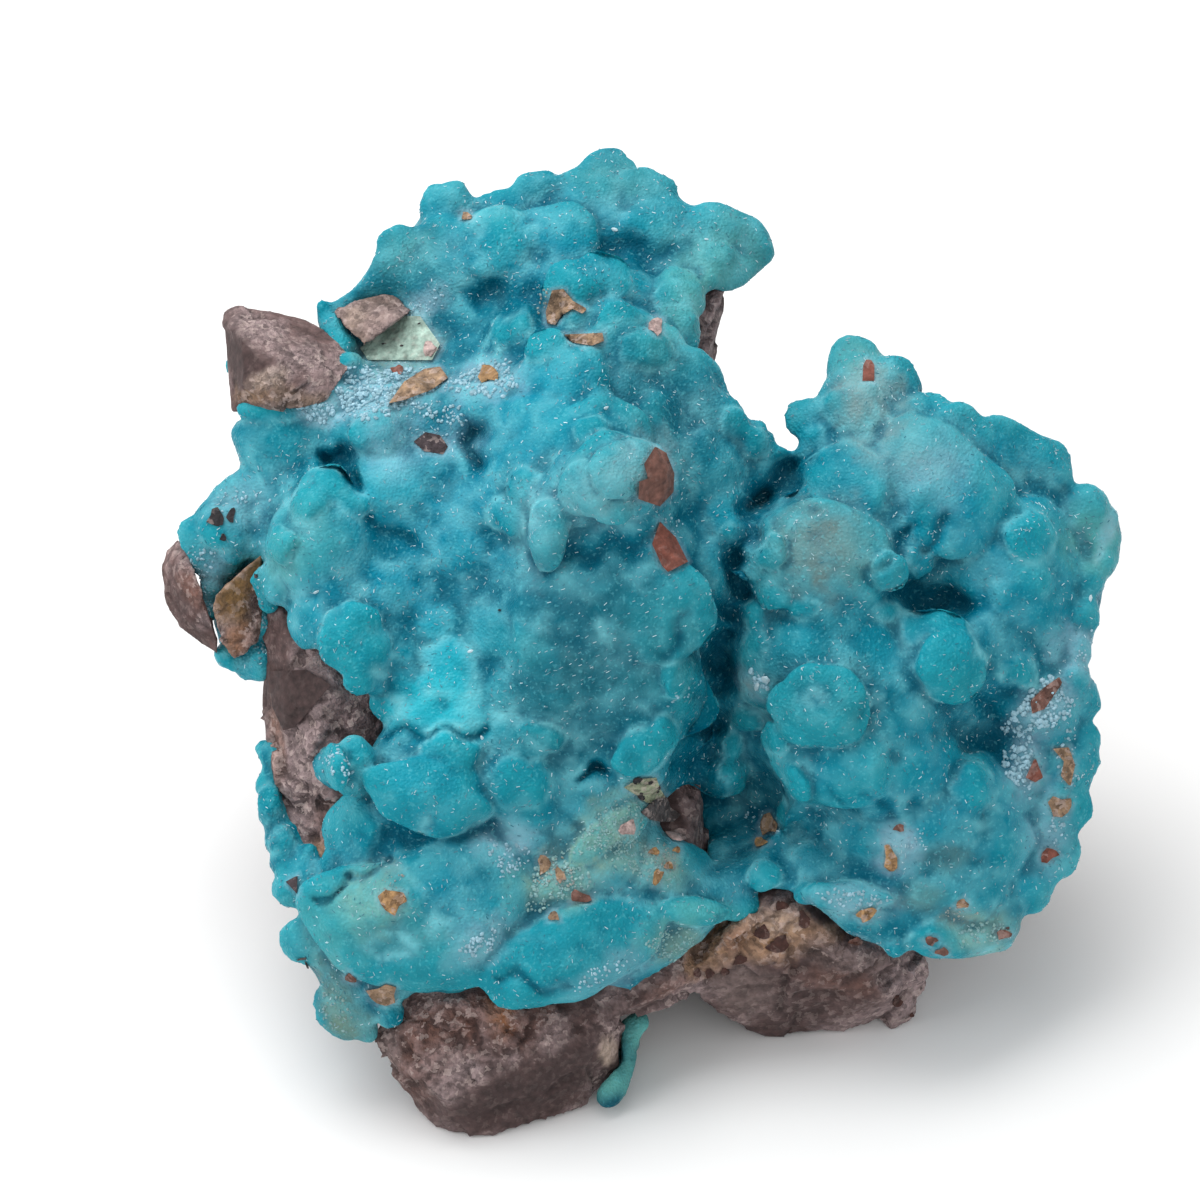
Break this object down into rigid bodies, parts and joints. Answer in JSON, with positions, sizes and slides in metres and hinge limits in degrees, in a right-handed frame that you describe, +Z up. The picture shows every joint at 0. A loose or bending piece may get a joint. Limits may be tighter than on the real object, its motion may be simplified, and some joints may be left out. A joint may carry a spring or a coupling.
{
  "type": "smithsonite specimen",
  "caption": "Blue-green botryoidal smithsonite crust on brown host rock, a cabinet specimen that rests on bare rock feet.",
  "frame": {"origin": "centre of the bounding box in plan, at the height of the surface that the rock feet rest on", "axes": "+Z up, -Y towards the leaning display face, +X to the right lobe"},
  "size_m": [0.1243, 0.1034, 0.0853],
  "materials": {
    "smithsonite": "waxy",
    "host_rock": "rough",
    "rock_fragments": "rough"
  },
  "bodies": {
    "root": {"smithsonite_crust": "smithsonite", "crust_patch_foot": "smithsonite", "matrix_rock": "host_rock", "rock_block_upper_left": "rock_fragments", "rock_chip_top": "rock_fragments", "rock_fragment_left": "rock_fragments", "rock_fragment_ochre": "rock_fragments"}
  },
  "joints": []
}
